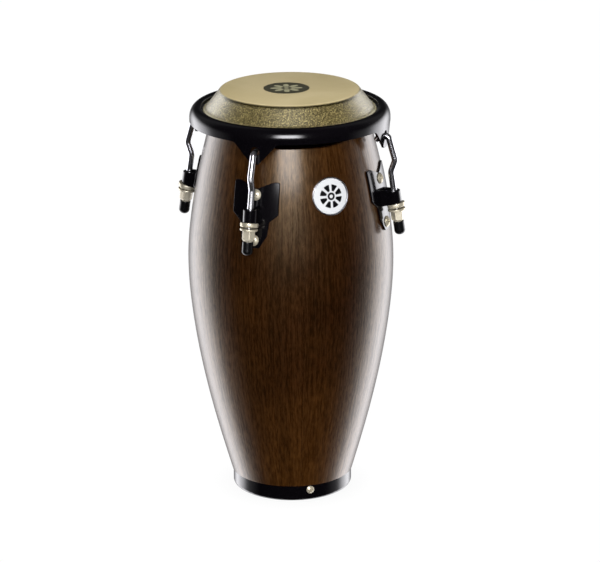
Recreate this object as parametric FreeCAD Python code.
# Mini conga drum: a turned stave shell, a moulded head on a metal hoop, a rolled steel rim with
# four ears, four hook rods with flanged tuning nuts, four lug plates with rod receivers, a badge
# and a base ring.
#
# Frame: origin on the floor plane at the centre of the base ring, +Z up the drum's axis,
# millimetres and degrees. The badge faces -Y. Azimuths run from -Y towards +X.
# Pieces off the axis are built facing +X, with +Y sideways, and then turned to their azimuth.
import FreeCAD, Part
import math
import os

os.makedirs("parts", exist_ok=True)
V = FreeCAD.Vector
X = V(1, 0, 0)
Z = V(0, 0, 1)
ORIGIN = V(0, 0, 0)

# ---------------------------------------------------------------- driving dimensions
TOTAL_H = 400.0            # floor to playing surface
FILM_T = 1.2               # head film thickness
HEAD_EDGE_R = 64.9         # where the flat playing surface starts to roll over
HEAD_ROLL_R = 3.0          # outer radius of that roll
COLLAR_ANGLE = 38.0        # collar slope from vertical

STAVES = 20
WALL = 9.5                 # stave thickness, measured horizontally
FOOT_R, FOOT_Z = 59.4, 16.0     # lower end of the shell's outer silhouette
RABBET_R, RABBET_Z = 55.3, 3.5  # stave foot that the ring slips over
# outer silhouette of the turned shell: (r, z)
SHELL_OUTLINE = [
    (FOOT_R, FOOT_Z), (66.3, 40), (77.0, 80), (86.1, 120), (93.2, 160), (98.0, 200), (99.4, 230),
    (98.0, 260), (93.9, 290), (88.5, 320), (81.4, 350), (74.9, 375), (70.2, 390), (68.3, 395),
]
INNER_FOOT = (50.1, FOOT_Z)     # ends of the shell's inner silhouette: (r, z)
INNER_TOP = (60.2, 392.0)

RING_R = 58.3              # base ring outer radius
RING_H = FOOT_Z - 0.05
RING_WALL = 2.95
RING_FLOOR = 3.4
RING_IN_R = 47.4
RING_CORNER_R = 3.4        # rounding of the lower outer corner
BASE_SCREW_AZIMUTHS = (-7.8, 112.2, -127.8)
BASE_SCREW_Z = 11.3
BASE_SCREW_R = 1.75

# Lug name, azimuth of its plate, sideways place of its rod at the ear's height, and sideways lean
# of that rod. The front left lug sits a degree out of line with its ear, so its rod leans over.
LUGS = [
    ("front_left", -46.0, 1.75, 1.75),
    ("front_right", 45.0, 0.0, 0.0),
    ("rear_right", 135.0, 0.0, 0.0),
    ("rear_left", -135.0, 0.0, 0.0),
]
LEAN_Z = 361.0             # height at which a leaning rod keeps its place
LUG_TILT = 9.0             # rod axis leans outwards going down
AXIS_R, AXIS_Z = 105.6, 302.0   # the axis point, from which distances down the rod are taken

PLATE_T = 1.8
PLATE_GAP = 0.05           # clearance between the shell and the sheet parts on it
PLATE_RANGE = (262.0, 340.0)    # heights of the curved blank the plate is cut from
BACKING_T = 1.5
SCREW_HEIGHTS = (319.0, 276.9)  # upper and lower lug screws
SCREW_HEAD_R, SCREW_HEAD_H, SCREW_R, SCREW_LENGTH = 5.4, 3.0, 2.5, 19.0
SHEET_HOLE_R = 2.75        # screw hole in the lug plate
WOOD_HOLE_R = 2.7          # screw hole in the staves and the backing plate

RECEIVER_R = 6.85          # receiver strap, outer radius round the rod
RECEIVER_T = 2.4
RECEIVER_CENTRE_R = 104.7  # the strap's centre is a little nearer the shell than the rod
RECEIVER_TOP_Z = 309.2     # its level top edge
SEAT_TILT = 15.0           # the receiver's lower edge and its seat washer, from horizontal
SEAT_Z = 296.3             # where the seat plane crosses the rod axis
WASHER_R, WASHER_T, WASHER_HOLE_R = 8.6, 4.1, 3.75

# Names ending in _S are distances down the rod axis from the axis point.
ROD_R = 3.0
ROD_END_S = 30.9
NUT_BORE_R = ROD_R + 0.05
NUT_ACROSS_FLATS = 11.1
NUT_TOP_S, NUT_HEX_END_S, NUT_END_S = 10.95, 22.9, 26.8
FLANGE_R, FLANGE_T = 8.4, 2.1
SPIGOT_R = 4.4
CAP_R, CAP_TOP_S, CAP_END_S = 5.2, 23.4, 36.5

RIM_R, RIM_BOTTOM, RIM_WALL = 96.1, 369.9, 2.4
EAR_AZIMUTHS = (-45.0, 45.0, 135.0, -135.0)
EAR_TIP_Z, EAR_HOLE_Z, EAR_HOLE_R = 350.2, 362.3, 4.6

BADGE_AZIMUTH, BADGE_Z, BADGE_R = -0.2, 316.3, 18.0
BADGE_BLANK_HALF_H = 27.0  # half height and half angle of the curved blank it is cut from
BADGE_BLANK_HALF_ANGLE = 17.0


# ---------------------------------------------------------------- drawing helpers
def spline(points, **tangents):
    """A smooth edge in the XZ plane through (r, z) points."""
    curve = Part.BSplineCurve()
    curve.interpolate(Points=[V(r, 0, z) for r, z in points], **tangents)
    return curve.toShape()


def chain(steps):
    """Joined edges in the XZ plane, from the first (x, z) point.

    A step (x, z) draws a line; (middle x, middle z, x, z) draws an arc through the middle.
    """
    edges = []
    start = V(steps[0][0], 0, steps[0][1])
    for step in steps[1:]:
        end = V(step[-2], 0, step[-1])
        if len(step) == 4:
            edges.append(Part.Arc(start, V(step[0], 0, step[1]), end).toShape())
        else:
            edges.append(Part.makeLine(start, end))
        start = end
    return edges


def rounded(points, radii):
    """Edges of a closed polygon of (y, z) points at x = 0, with each corner rounded."""
    count = len(points)
    corners = [V(0, y, z) for y, z in points]
    starts, middles, ends = [], [], []
    for i, corner in enumerate(corners):
        to_last = corners[i - 1] - corner
        to_next = corners[(i + 1) % count] - corner
        limit = 0.49 * min(to_last.Length, to_next.Length)
        to_last.normalize()
        to_next.normalize()
        half = to_last.getAngle(to_next) / 2.0
        radius = radii[i]
        setback = radius / math.tan(half)
        if setback > limit:
            setback = limit
            radius = setback * math.tan(half)
        bisector = (to_last + to_next).normalize()
        centre = corner + bisector * (radius / math.sin(half))
        starts.append(corner + to_last * setback)
        middles.append(centre + (corner - centre).normalize() * radius)
        ends.append(corner + to_next * setback)
    edges = []
    for i in range(count):
        edges.append(Part.Arc(starts[i], middles[i], ends[i]).toShape())
        following = starts[(i + 1) % count]
        if (ends[i] - following).Length > 1e-6:
            edges.append(Part.makeLine(ends[i], following))
    return edges


def hexagon(across_flats):
    """Corners of a hexagon as coordinate pairs, with the first repeated at the end."""
    radius = across_flats / math.sqrt(3)
    return [(radius * math.cos(math.radians(60 * i)), radius * math.sin(math.radians(60 * i)))
            for i in range(7)]


# ---------------------------------------------------------------- solid helpers
def as_solid(shape):
    """Unwraps a lone solid from its compound and makes its volume positive."""
    if len(shape.Solids) == 1:
        shape = shape.Solids[0]
    if shape.Volume < 0:
        shape.reverse()
    return shape


def revolve(edges, angle=360.0, start=0.0, axis=Z):
    solid = Part.Face(Part.Wire(edges)).revolve(ORIGIN, axis, angle)
    if start:
        solid.rotate(ORIGIN, Z, start)
    return as_solid(solid)


def prism(half_outline, x_start, x_end):
    """A plate square to X. The outline's half at y >= 0, as (y, z, corner radius) from top to
    bottom, is mirrored to y < 0."""
    outline = half_outline + [(-y, z, r) for y, z, r in reversed(half_outline) if y > 0]
    edges = rounded([(y, z) for y, z, _ in outline], [r for _, _, r in outline])
    face = Part.Face(Part.Wire(edges))
    face.translate(V(x_start, 0, 0))
    return face.extrude(V(x_end - x_start, 0, 0))


def soften(shape, radius, keep):
    """Rounds all the edges that keep(edge) picks."""
    edges = [edge for edge in shape.Edges if keep(edge)]
    # Guards against a fillet that fails or spoils the solid: the sharp shape is kept then.
    try:
        result = shape.makeFillet(radius, edges)
        if result.isValid() and result.Volume > 0.5 * shape.Volume:
            return as_solid(result)
    except Exception:
        pass
    return shape


def place(shape, azimuth):
    """A copy of a shape built facing +X, turned to its azimuth."""
    placed = shape.copy()
    placed.rotate(ORIGIN, Z, azimuth - 90.0)
    return placed


def orient_x(shape, origin, direction):
    """A copy with its origin moved to a point and its X axis along a direction in XZ."""
    moved = shape.copy()
    moved.rotate(ORIGIN, V(0, 1, 0), -math.degrees(math.atan2(direction.z, direction.x)))
    moved.translate(origin)
    return moved


def to_frame(shape, out, up, origin):
    """A copy moved to a frame whose x axis is out, z axis is up, and y axis stays."""
    matrix = FreeCAD.Matrix(out.x, 0, up.x, 0, 0, 1, 0, 0, out.z, 0, up.z, 0, 0, 0, 0, 1)
    moved = shape.copy()
    moved.Placement = FreeCAD.Placement(matrix).multiply(moved.Placement)
    moved.translate(origin)
    return moved


def export(name, *shapes):
    solids = [solid for shape in shapes for solid in shape.Solids]
    piece = solids[0] if len(solids) == 1 else Part.makeCompound(solids)
    piece.exportStep("parts/%s.step" % name)


# ---------------------------------------------------------------- the shell's surface
SHELL_EDGE = spline(SHELL_OUTLINE)


def shell_point(z):
    """The point on the shell's outer surface at a height, and the outward normal there."""
    low, high = SHELL_EDGE.FirstParameter, SHELL_EDGE.LastParameter
    for _ in range(60):
        middle = 0.5 * (low + high)
        if SHELL_EDGE.valueAt(middle).z < z:
            low = middle
        else:
            high = middle
    tangent = SHELL_EDGE.tangentAt(low)
    slope = tangent.x / tangent.z
    length = math.hypot(1, slope)
    return V(SHELL_EDGE.valueAt(low).x, 0, z), V(1.0 / length, 0, -slope / length)


def offset_points(distance, z_min, z_max, inward=False):
    """Points (r, z) along the shell's outer or inner surface, moved out by a distance."""
    wall = WALL if inward else 0.0
    count = int(round((z_max - z_min) / 6.0))      # spacing near 6 mm
    points = []
    for i in range(count + 1):
        z = z_min + (z_max - z_min) * i / count
        point, normal = shell_point(z)
        points.append((point.x - wall + normal.x * distance, z + normal.z * distance))
    return points


def layer(near, far, z_min, z_max, half_angle, inward=False):
    """A thin curved layer that hugs the shell between two offsets, centred on +X."""
    a = offset_points(near, z_min, z_max, inward)
    b = offset_points(far, z_min, z_max, inward)
    edges = [spline(a)] + chain([a[-1], b[-1]]) + [spline(b)] + chain([b[0], a[0]])
    return revolve(edges, 2 * half_angle, -half_angle)


LUG_SCREWS = [shell_point(z) for z in SCREW_HEIGHTS]    # (point, outward normal)


def cut_screw_holes(shape, radius, azimuth=90.0):
    """Cuts both lug screw holes; an azimuth of 90 leaves them facing +X."""
    for point, normal in LUG_SCREWS:
        drill = Part.makeCylinder(radius, 42.0, point - normal * 30.0, normal)
        shape = shape.cut(place(drill, azimuth))
    return shape


# ---------------------------------------------------------------- the rod axis and the seat
TILT = math.radians(LUG_TILT)
DOWN = V(math.sin(TILT), 0, -math.cos(TILT))       # down the rod axis
OUT = V(math.cos(TILT), 0, math.sin(TILT))         # square to it, away from the shell


def on_axis(distance):
    return V(AXIS_R, 0, AXIS_Z) + DOWN * distance


def to_axis(shape, distance=0.0):
    """Moves a shape with z up the rod to a distance down the rod axis."""
    return to_frame(shape, OUT, -DOWN, on_axis(distance))


def to_seat(shape):
    """Moves a shape with z = 0 as the seat plane to the seat."""
    tilt = math.radians(SEAT_TILT)
    out = V(math.cos(tilt), 0, math.sin(tilt))
    up = V(-math.sin(tilt), 0, math.cos(tilt))
    return to_frame(shape, out, up, on_axis((AXIS_Z - SEAT_Z) / math.cos(TILT)))


def lean(shape, sideways, angle):
    """Leans a rod, nut or cap sideways about the ear's height, then moves it sideways."""
    leaned = shape.copy()
    leaned.rotate(V(AXIS_R, 0, LEAN_Z), X, -angle)
    leaned.translate(V(0, sideways, 0))
    return leaned


# ---------------------------------------------------------------- staves
def make_stave():
    top_z = TOTAL_H - FILM_T
    inner = [INNER_FOOT] + [(r - WALL, z) for r, z in SHELL_OUTLINE[1:] if z <= 375] + [INNER_TOP]
    top = chain([
        SHELL_OUTLINE[-1], (66.5, 397.6), (65.95, 398.4, HEAD_EDGE_R, top_z),
        (62.2, top_z), (60.6, 397.9, 60.0, 396.2), INNER_TOP,
    ])
    foot = chain([
        INNER_FOOT, (48.2, RABBET_Z), (RABBET_R, RABBET_Z), (RABBET_R, FOOT_Z), (FOOT_R, FOOT_Z),
    ])
    return revolve([SHELL_EDGE] + top + [spline(inner[::-1])] + foot, 360.0 / STAVES)


def export_staves():
    blank = make_stave()
    stave_angle = 360.0 / STAVES
    base_drill = Part.makeCylinder(1.8, 11.5, V(49.9, 0, BASE_SCREW_Z), X)

    def near(middle, azimuth):
        """Whether a hole at an azimuth may touch the stave with this middle azimuth."""
        return abs((middle - azimuth + 180) % 360 - 180) < stave_angle / 2 + 3.0

    for i in range(STAVES):
        first_edge = i * stave_angle
        middle = first_edge + stave_angle / 2
        stave = place(blank, first_edge)
        for _, azimuth, _, _ in LUGS:
            if near(middle, azimuth):
                stave = cut_screw_holes(stave, WOOD_HOLE_R, azimuth)
        for azimuth in BASE_SCREW_AZIMUTHS:
            if near(middle, azimuth):
                stave = stave.cut(place(base_drill, azimuth))
        export("stave_%02d" % (i + 1), as_solid(stave))


# ---------------------------------------------------------------- base ring
def make_base_ring():
    wall_in_r = RING_R - RING_WALL
    corner_mid = RING_CORNER_R * (1 - math.sqrt(0.5))
    ring = revolve(chain([
        (RING_R - RING_CORNER_R, 0), (RING_IN_R + 0.8, 0),
        (RING_IN_R + 0.23, 0.23, RING_IN_R, 0.8), (RING_IN_R, RING_FLOOR - 0.6),
        (RING_IN_R + 0.6, RING_FLOOR), (wall_in_r, RING_FLOOR), (wall_in_r, RING_H),
        (RING_R - 0.5, RING_H), (RING_R - 0.146, RING_H - 0.146, RING_R, RING_H - 0.5),
        (RING_R, RING_CORNER_R), (RING_R - corner_mid, corner_mid, RING_R - RING_CORNER_R, 0),
    ]))
    drill = Part.makeCylinder(BASE_SCREW_R + 0.1, 10, V(52, 0, BASE_SCREW_Z), X)
    for azimuth in BASE_SCREW_AZIMUTHS:
        ring = ring.cut(place(drill, azimuth))
    return as_solid(ring)


# ---------------------------------------------------------------- screws
def cross_recess(face_x, width, length, depth):
    """A cross-shaped cutter that runs from x = face_x inwards along -X."""
    x = face_x - depth
    across = Part.makeBox(depth, length, width, V(x, -length / 2, -width / 2))
    upright = Part.makeBox(depth, width, length, V(x, -width / 2, -length / 2))
    return across.fuse(upright)


def domed_screw(head_r, head_h, shank_r, length, recess_width, recess_length, recess_depth):
    """A screw on the X axis: the head's underside is at x = 0, the shank ends at x = -length."""
    edge_h = 0.6           # cylindrical edge below the dome
    rise = head_h - edge_h
    dome_r = (head_r ** 2 + rise ** 2) / (2 * rise)
    dome_mid_x = head_h - dome_r + dome_r * math.cos(math.asin(head_r / 2 / dome_r))
    screw = revolve(chain([
        (-length, 0), (-length, shank_r - 0.5), (-length + 0.5, shank_r), (0, shank_r),
        (0, head_r), (edge_h, head_r), (dome_mid_x, head_r / 2, head_h, 0), (-length, 0),
    ]), axis=X)
    cutter = cross_recess(head_h + 0.05, recess_width, recess_length, recess_depth)
    return as_solid(screw.cut(cutter))


def export_base_screws():
    screw = domed_screw(head_r=3.8, head_h=2.0, shank_r=BASE_SCREW_R, length=7.6,
                        recess_width=0.9, recess_length=3.4, recess_depth=1.1)
    seated = orient_x(screw, V(RING_R + 0.02, 0, BASE_SCREW_Z), X)
    export("base_ring_screws", *[place(seated, azimuth) for azimuth in BASE_SCREW_AZIMUTHS])


def make_screw_nut():
    """Hex nut on the X axis, from x = -4 to 0, with its inner end chamfered."""
    height, chamfer_h, cone_r = 4.0, 1.4, 5.6
    corners = [V(-height, y, z) for y, z in hexagon(8.0)]
    nut = Part.Face(Part.makePolygon(corners)).extrude(V(height, 0, 0))
    nut = nut.cut(Part.makeCylinder(SCREW_R + 0.05, 10, V(-7, 0, 0), X))
    cone = Part.makeCone(3.2, cone_r, chamfer_h, V(-height, 0, 0), X)
    collar = Part.makeCylinder(cone_r, 3.2, V(-height + chamfer_h, 0, 0), X)
    return as_solid(nut.common(cone.fuse(collar)))


def export_lug_screws():
    screw = domed_screw(SCREW_HEAD_R, SCREW_HEAD_H, SCREW_R, SCREW_LENGTH,
                        recess_width=1.3, recess_length=5.4, recess_depth=1.6)
    nut = make_screw_nut()
    screws, nuts = [], []
    for _, azimuth, _, _ in LUGS:
        for point, normal in LUG_SCREWS:
            head_seat = point + normal * (PLATE_GAP + PLATE_T + 0.06)
            nut_depth = WALL * normal.x + PLATE_GAP + BACKING_T + 0.45
            screws.append(place(orient_x(screw, head_seat, normal), azimuth))
            nuts.append(place(orient_x(nut, point - normal * nut_depth, normal), azimuth))
    export("lug_screws", *screws)
    export("lug_screw_nuts", *nuts)


# ---------------------------------------------------------------- lug plates and backing plates
# half outlines: (y, z, corner radius)
PLATE_HALF = [
    (0, 324.3, 3.0), (15.5, 331.0, 8.0), (22.1, 331.3, 2.2), (22.5, 301.3, 2.0),
    (14.4, 294.3, 2.5), (12.9, 281.5, 2.5), (5.6, 269.6, 3.0),
]
BACKING_HALF = [(9, 328.5, 3.0), (9, 268.5, 3.0)]


def make_lug_plate():
    plate = layer(PLATE_GAP, PLATE_GAP + PLATE_T, *PLATE_RANGE, half_angle=17.0)
    plate = as_solid(plate.common(prism(PLATE_HALF, 60, 130)))
    plate = as_solid(cut_screw_holes(plate, SHEET_HOLE_R))

    def on_outer_outline(edge):
        """Edges of the outer face, apart from those round the screw holes."""
        outer = all(math.hypot(v.X, v.Y) - shell_point(v.Z)[0].x > PLATE_T * 0.7
                    for v in edge.Vertexes)
        at_hole = any((V(edge.CenterOfMass) - (point + normal * PLATE_T)).Length < 3.2
                      for point, normal in LUG_SCREWS)
        return edge.Length > 1.0 and outer and not at_hole

    return soften(plate, 0.35, on_outer_outline)


def make_backing_plate():
    """The plate on the shell's inner surface, behind a lug."""
    backing = layer(-PLATE_GAP - BACKING_T, -PLATE_GAP, 262.0, 336.0, 9.0, inward=True)
    backing = as_solid(backing.common(prism(BACKING_HALF, 40, 110)))
    return as_solid(cut_screw_holes(backing, WOOD_HOLE_R))


# ---------------------------------------------------------------- rod receivers
def strap_bar(radius, length):
    """A D-shaped bar up Z: rounded towards +X, flat at the back."""
    back = -16.0
    face = Part.Face(Part.Wire([
        Part.makeLine(V(back, -radius, 0), V(0, -radius, 0)),
        Part.Arc(V(0, -radius, 0), V(radius, 0, 0), V(0, radius, 0)).toShape(),
        Part.makeLine(V(0, radius, 0), V(back, radius, 0)),
        Part.makeLine(V(back, radius, 0), V(back, -radius, 0)),
    ]))
    return face.extrude(V(0, 0, length))


def make_receiver():
    """A strap bent round the rod, trimmed to its top edge, its seat and the plate."""
    length = 44.0
    strap = strap_bar(RECEIVER_R, length).cut(strap_bar(RECEIVER_R - RECEIVER_T, length))
    strap = to_axis(strap, length - 14.0)
    strap.translate(V(RECEIVER_CENTRE_R - AXIS_R, 0, 0))
    strap = strap.cut(Part.makeBox(90, 80, 60, V(50, -40, RECEIVER_TOP_Z)))
    below_seat = to_seat(Part.makeBox(80, 80, 60, V(-40, -40, -60)))
    plate_face = offset_points(PLATE_GAP + PLATE_T + 0.02, *PLATE_RANGE)
    inside_plate = revolve([spline(plate_face)] + chain([
        plate_face[-1], (0, 345), (0, 258), plate_face[0],
    ]))
    strap = as_solid(strap.cut(below_seat).cut(inside_plate))
    strap = max(strap.Solids, key=lambda solid: solid.Volume)
    return soften(strap, 0.5, lambda edge: edge.Length > 3.0 and edge.CenterOfMass.x > 99.5)


# ---------------------------------------------------------------- seat washers
def make_seat_washer():
    top, bottom = -0.03, -WASHER_T
    return to_seat(revolve(chain([
        (WASHER_HOLE_R, top), (WASHER_R - 0.3, top), (WASHER_R, -0.35), (WASHER_R, bottom + 1.3),
        (WASHER_R - 0.35, bottom + 0.4, WASHER_R - 1.2, bottom),
        (WASHER_HOLE_R + 0.4, bottom), (WASHER_HOLE_R, bottom + 0.4), (WASHER_HOLE_R, top),
    ])))


# ---------------------------------------------------------------- tuning nuts and caps
# Built with z up the rod and z = 0 at the axis point.
def make_tuning_nut():
    corner_r = NUT_ACROSS_FLATS / math.sqrt(3)
    hex_end = -NUT_HEX_END_S
    corners = [V(x, y, hex_end) for x, y in hexagon(NUT_ACROSS_FLATS)]
    hex_h = NUT_HEX_END_S - NUT_TOP_S - FLANGE_T + 0.3
    body = Part.Face(Part.makePolygon(corners)).extrude(V(0, 0, hex_h))
    # chamfers the hexagon's lower corners
    body = body.common(revolve(chain([
        (0, hex_end), (NUT_ACROSS_FLATS / 2 - 0.9, hex_end), (corner_r + 0.2, hex_end + 2.1),
        (corner_r + 0.2, 0), (0, 0), (0, hex_end),
    ])))
    top, bottom = -NUT_TOP_S, -(NUT_TOP_S + FLANGE_T)
    flange = revolve(chain([
        (0, top), (FLANGE_R - 0.5, top), (FLANGE_R - 0.146, top - 0.146, FLANGE_R, top - 0.5),
        (FLANGE_R, bottom + 0.5), (FLANGE_R - 0.2, bottom + 0.12, FLANGE_R - 0.7, bottom),
        (0, bottom - 0.25), (0, top),
    ]))
    spigot = Part.makeCylinder(SPIGOT_R, NUT_END_S - NUT_HEX_END_S + 0.5, V(0, 0, -NUT_END_S))
    nut = body.fuse(flange).fuse(spigot).cut(Part.makeCylinder(NUT_BORE_R, 60, V(0, 0, -50)))
    countersink = Part.makeCone(NUT_BORE_R + 0.8, NUT_BORE_R, 0.8, V(0, 0, top), V(0, 0, -1))
    return as_solid(nut.cut(countersink))


def make_nut_cap():
    cap = Part.makeCylinder(CAP_R, CAP_END_S - CAP_TOP_S, V(0, 0, -CAP_END_S))
    bottom = [e for e in cap.Edges if e.CenterOfMass.z < -CAP_END_S + 0.1 and e.Length > 20]
    cap = cap.makeFillet(4.2, bottom)
    top = [e for e in cap.Edges if e.CenterOfMass.z > -CAP_TOP_S - 0.1 and e.Length > 20]
    cap = cap.makeFillet(0.45, top)
    cap = cap.cut(Part.makeCylinder(SPIGOT_R + 0.02, 40.0, V(0, 0, -NUT_END_S - 0.05)))
    return as_solid(cap.cut(Part.makeCylinder(3.6, 30.0, V(0, 0, -CAP_END_S + 3.2))))


# ---------------------------------------------------------------- hook rods
ROD_BEND_Z = 326.5         # lowest bend, where the rod joins its axis
ROD_CORNERS = [
    V(87.0, 0, 355.8), V(90.6, 0, 361.9), V(98.9, 0, 361.3), V(105.8, 0, 338.2),
    V(AXIS_R + (AXIS_Z - ROD_BEND_Z) * math.tan(TILT), 0, ROD_BEND_Z), on_axis(ROD_END_S),
]
ROD_BEND_RADII = [4.2, 4.6, 6.5, 9.0]


def bent_rod(points, bend_radii, rod_r):
    """A round bar through corner points, with a bend radius at each inner corner."""
    pieces = []
    start = points[0]
    for last, corner, following, bend_r in zip(points, points[1:], points[2:], bend_radii):
        to_last = (last - corner).normalize()
        to_next = (following - corner).normalize()
        angle = to_last.getAngle(to_next)
        setback = bend_r / math.tan(angle / 2.0)
        bend_start = corner + to_last * setback
        bend_end = corner + to_next * setback
        bisector = (to_last + to_next).normalize()
        centre = corner + bisector * (bend_r / math.sin(angle / 2.0))
        run = bend_start - start
        pieces.append(Part.makeCylinder(rod_r, run.Length, start, run))
        axis = (bend_start - centre).cross(bend_end - centre)
        section = Part.Face(Part.Wire(Part.makeCircle(rod_r, bend_start, corner - last)))
        pieces.append(section.revolve(centre, axis, math.degrees(math.pi - angle)))
        start = bend_end
    run = points[-1] - start
    pieces.append(Part.makeCylinder(rod_r, run.Length, start, run))
    rod = pieces[0]
    for piece in pieces[1:]:
        rod = rod.fuse(piece)
    return as_solid(rod.removeSplitter())


def make_hook_rod():
    rod = bent_rod(ROD_CORNERS, ROD_BEND_RADII, ROD_R)
    # chamfers the lower end
    wide_r, chamfer_h = ROD_R + 0.6, 1.4
    tip = Part.makeCone(ROD_R - 0.8, wide_r, chamfer_h)
    tip = to_axis(tip.fuse(Part.makeCylinder(wide_r, 8.0, V(0, 0, chamfer_h))), ROD_END_S)
    end_zone = to_axis(Part.makeCylinder(6.0, 8.0), ROD_END_S)
    lower = rod.common(end_zone)
    upper = rod.cut(end_zone)
    return as_solid(upper.fuse(lower.common(tip)).removeSplitter())


# ---------------------------------------------------------------- head: film and hoop
def make_film():
    angle = math.radians(COLLAR_ANGLE)
    middle_angle = (angle + math.pi / 2) / 2
    under_r = HEAD_ROLL_R - FILM_T
    under_z = TOTAL_H - FILM_T

    def on_roll(radius, at):
        """The point (r, z) on the edge roll at a radius and an angle up from horizontal."""
        return (HEAD_EDGE_R + radius * math.cos(at),
                TOTAL_H - HEAD_ROLL_R + radius * math.sin(at))

    collar_top = on_roll(HEAD_ROLL_R, angle)
    foot_r = 79.0          # lower end of the straight collar
    foot_z = collar_top[1] - (foot_r - collar_top[0]) / math.tan(angle)
    collar_foot = (foot_r, foot_z)
    under_foot = (foot_r - FILM_T * math.cos(angle), foot_z - FILM_T * math.sin(angle))
    hem_r, hem_bottom = 83.0, 373.5
    outer_hem = [collar_foot, (80.3, 382.65), (81.7, 381.9), (82.6, 380.9), (hem_r, 379.4)]
    inner_hem = [(hem_r - FILM_T, 378.9), (81.3, 380.1), (80.3, 380.9), (79.2, 381.75), under_foot]
    return revolve(
        chain([
            (0, TOTAL_H), (HEAD_EDGE_R, TOTAL_H),
            on_roll(HEAD_ROLL_R, middle_angle) + collar_top, collar_foot,
        ])
        + [spline(outer_hem)]
        + chain([outer_hem[-1], (hem_r, hem_bottom), (hem_r - FILM_T, hem_bottom), inner_hem[0]])
        + [spline(inner_hem)]
        + chain([
            under_foot, on_roll(under_r, angle),
            on_roll(under_r, middle_angle) + (HEAD_EDGE_R, under_z),
            (0, under_z), (0, TOTAL_H),
        ]))


# hoop section: (r, z)
HOOP_SECTION = [
    (80.6, 369.0), (84.4, 369.0), (84.4, 374.6), (89.0, 374.6), (89.0, 377.5), (84.4, 377.5),
    (84.4, 379.4), (83.45, 379.4), (83.45, 370.1), (81.5, 370.1), (81.5, 376.4), (80.6, 376.4),
]

# ---------------------------------------------------------------- rim
RIM_IN_R = RIM_R - RIM_WALL
# the rolled top's outer and inner curves: (r, z)
RIM_OUTER = [
    (RIM_R, 372.0), (96.05, 374.6), (95.1, 378.6), (93.2, 381.9), (90.6, 383.9), (88.0, 384.4),
    (85.9, 383.8), (84.7, 382.3),
]
RIM_INNER = [
    (87.0, 380.6), (88.3, 381.9), (90.0, 381.6), (91.9, 379.9), (93.2, 377.0), (RIM_IN_R, 372.5),
]
# Half outline of one ear: (y, z, corner radius). Shoulders run into the sides and a rounded tip.
EAR_HALF = [
    (26.0, 371.0, 0.3), (26.0, RIM_BOTTOM, 0.3), (20.9, 369.6, 9.0), (11.4, 358.8, 6.0),
    (7.4, 354.7, 9.0), (3.4, EAR_TIP_Z, 3.2),
]


def make_ear():
    bottom, top = 345.0, 371.4
    skirt = revolve(chain([
        (RIM_R, bottom), (RIM_R, top), (RIM_IN_R, top), (RIM_IN_R, bottom), (RIM_R, bottom),
    ]), 44.0, -22.0)
    ear = skirt.common(prism(EAR_HALF, 80, 110))
    return as_solid(ear.cut(Part.makeCylinder(EAR_HOLE_R, 30, V(85, 0, EAR_HOLE_Z), X)))


def make_rim():
    upright = {"InitialTangent": V(0, 0, 1), "FinalTangent": V(0, 0, -1)}
    rim = revolve(
        chain([(RIM_R, RIM_BOTTOM), RIM_OUTER[0]])
        + [spline(RIM_OUTER, **upright)]
        + chain([
            RIM_OUTER[-1], (84.7, 378.2), (84.9, 377.72, 85.4, 377.52), (87.0, 377.52),
            RIM_INNER[0],
        ])
        + [spline(RIM_INNER, **upright)]
        + chain([RIM_INNER[-1], (RIM_IN_R, RIM_BOTTOM), (RIM_R, RIM_BOTTOM)]))
    ear = make_ear()
    for azimuth in EAR_AZIMUTHS:
        rim = rim.fuse(place(ear, azimuth))
    return as_solid(rim.removeSplitter())


# ---------------------------------------------------------------- badge
def export_badge():
    centre, normal = shell_point(BADGE_Z)

    def blank(thick_to):
        return layer(0.05, thick_to, BADGE_Z - BADGE_BLANK_HALF_H, BADGE_Z + BADGE_BLANK_HALF_H,
                     BADGE_BLANK_HALF_ANGLE)

    def punch(radius):
        return Part.makeCylinder(radius, 40, centre - normal * 20, normal)

    face = as_solid(blank(1.05).common(punch(BADGE_R - 1.1)))
    tube = punch(BADGE_R).cut(punch(BADGE_R - 1.08))
    bezel = as_solid(blank(1.6).common(tube))
    bezel = soften(bezel, 0.3, lambda edge: edge.Length > 20
                   and (V(edge.CenterOfMass) - centre).dot(normal) > -0.9)
    export("badge_face", place(face, BADGE_AZIMUTH))
    export("badge_bezel", place(bezel, BADGE_AZIMUTH))


# ---------------------------------------------------------------- build
def export_lugs():
    plate, receiver, washer = make_lug_plate(), make_receiver(), make_seat_washer()
    rod_parts = [
        ("tuning_nut_", to_axis(make_tuning_nut())),
        ("nut_cap_", to_axis(make_nut_cap())),
        ("hook_rod_", make_hook_rod()),
    ]
    for name, azimuth, sideways, angle in LUGS:
        export("lug_plate_" + name, place(plate, azimuth))
        export("rod_receiver_" + name, place(receiver, azimuth))
        # the washer stays square to the seat but follows the leaning rod sideways
        moved = washer.copy()
        shift = sideways - (LEAN_Z - SEAT_Z) * math.tan(math.radians(angle))
        moved.translate(V(0, shift, 0))
        export("seat_washer_" + name, place(moved, azimuth))
        for prefix, part in rod_parts:
            export(prefix + name, place(lean(part, sideways, angle), azimuth))
    backing = make_backing_plate()
    export("backing_plates", *[place(backing, azimuth) for _, azimuth, _, _ in LUGS])


export_staves()
export("base_ring", make_base_ring())
export_base_screws()
export_lug_screws()
export_lugs()
export("drumhead_film", make_film())
export("head_hoop", revolve(chain(HOOP_SECTION + HOOP_SECTION[:1])))
export("rim", make_rim())
export_badge()
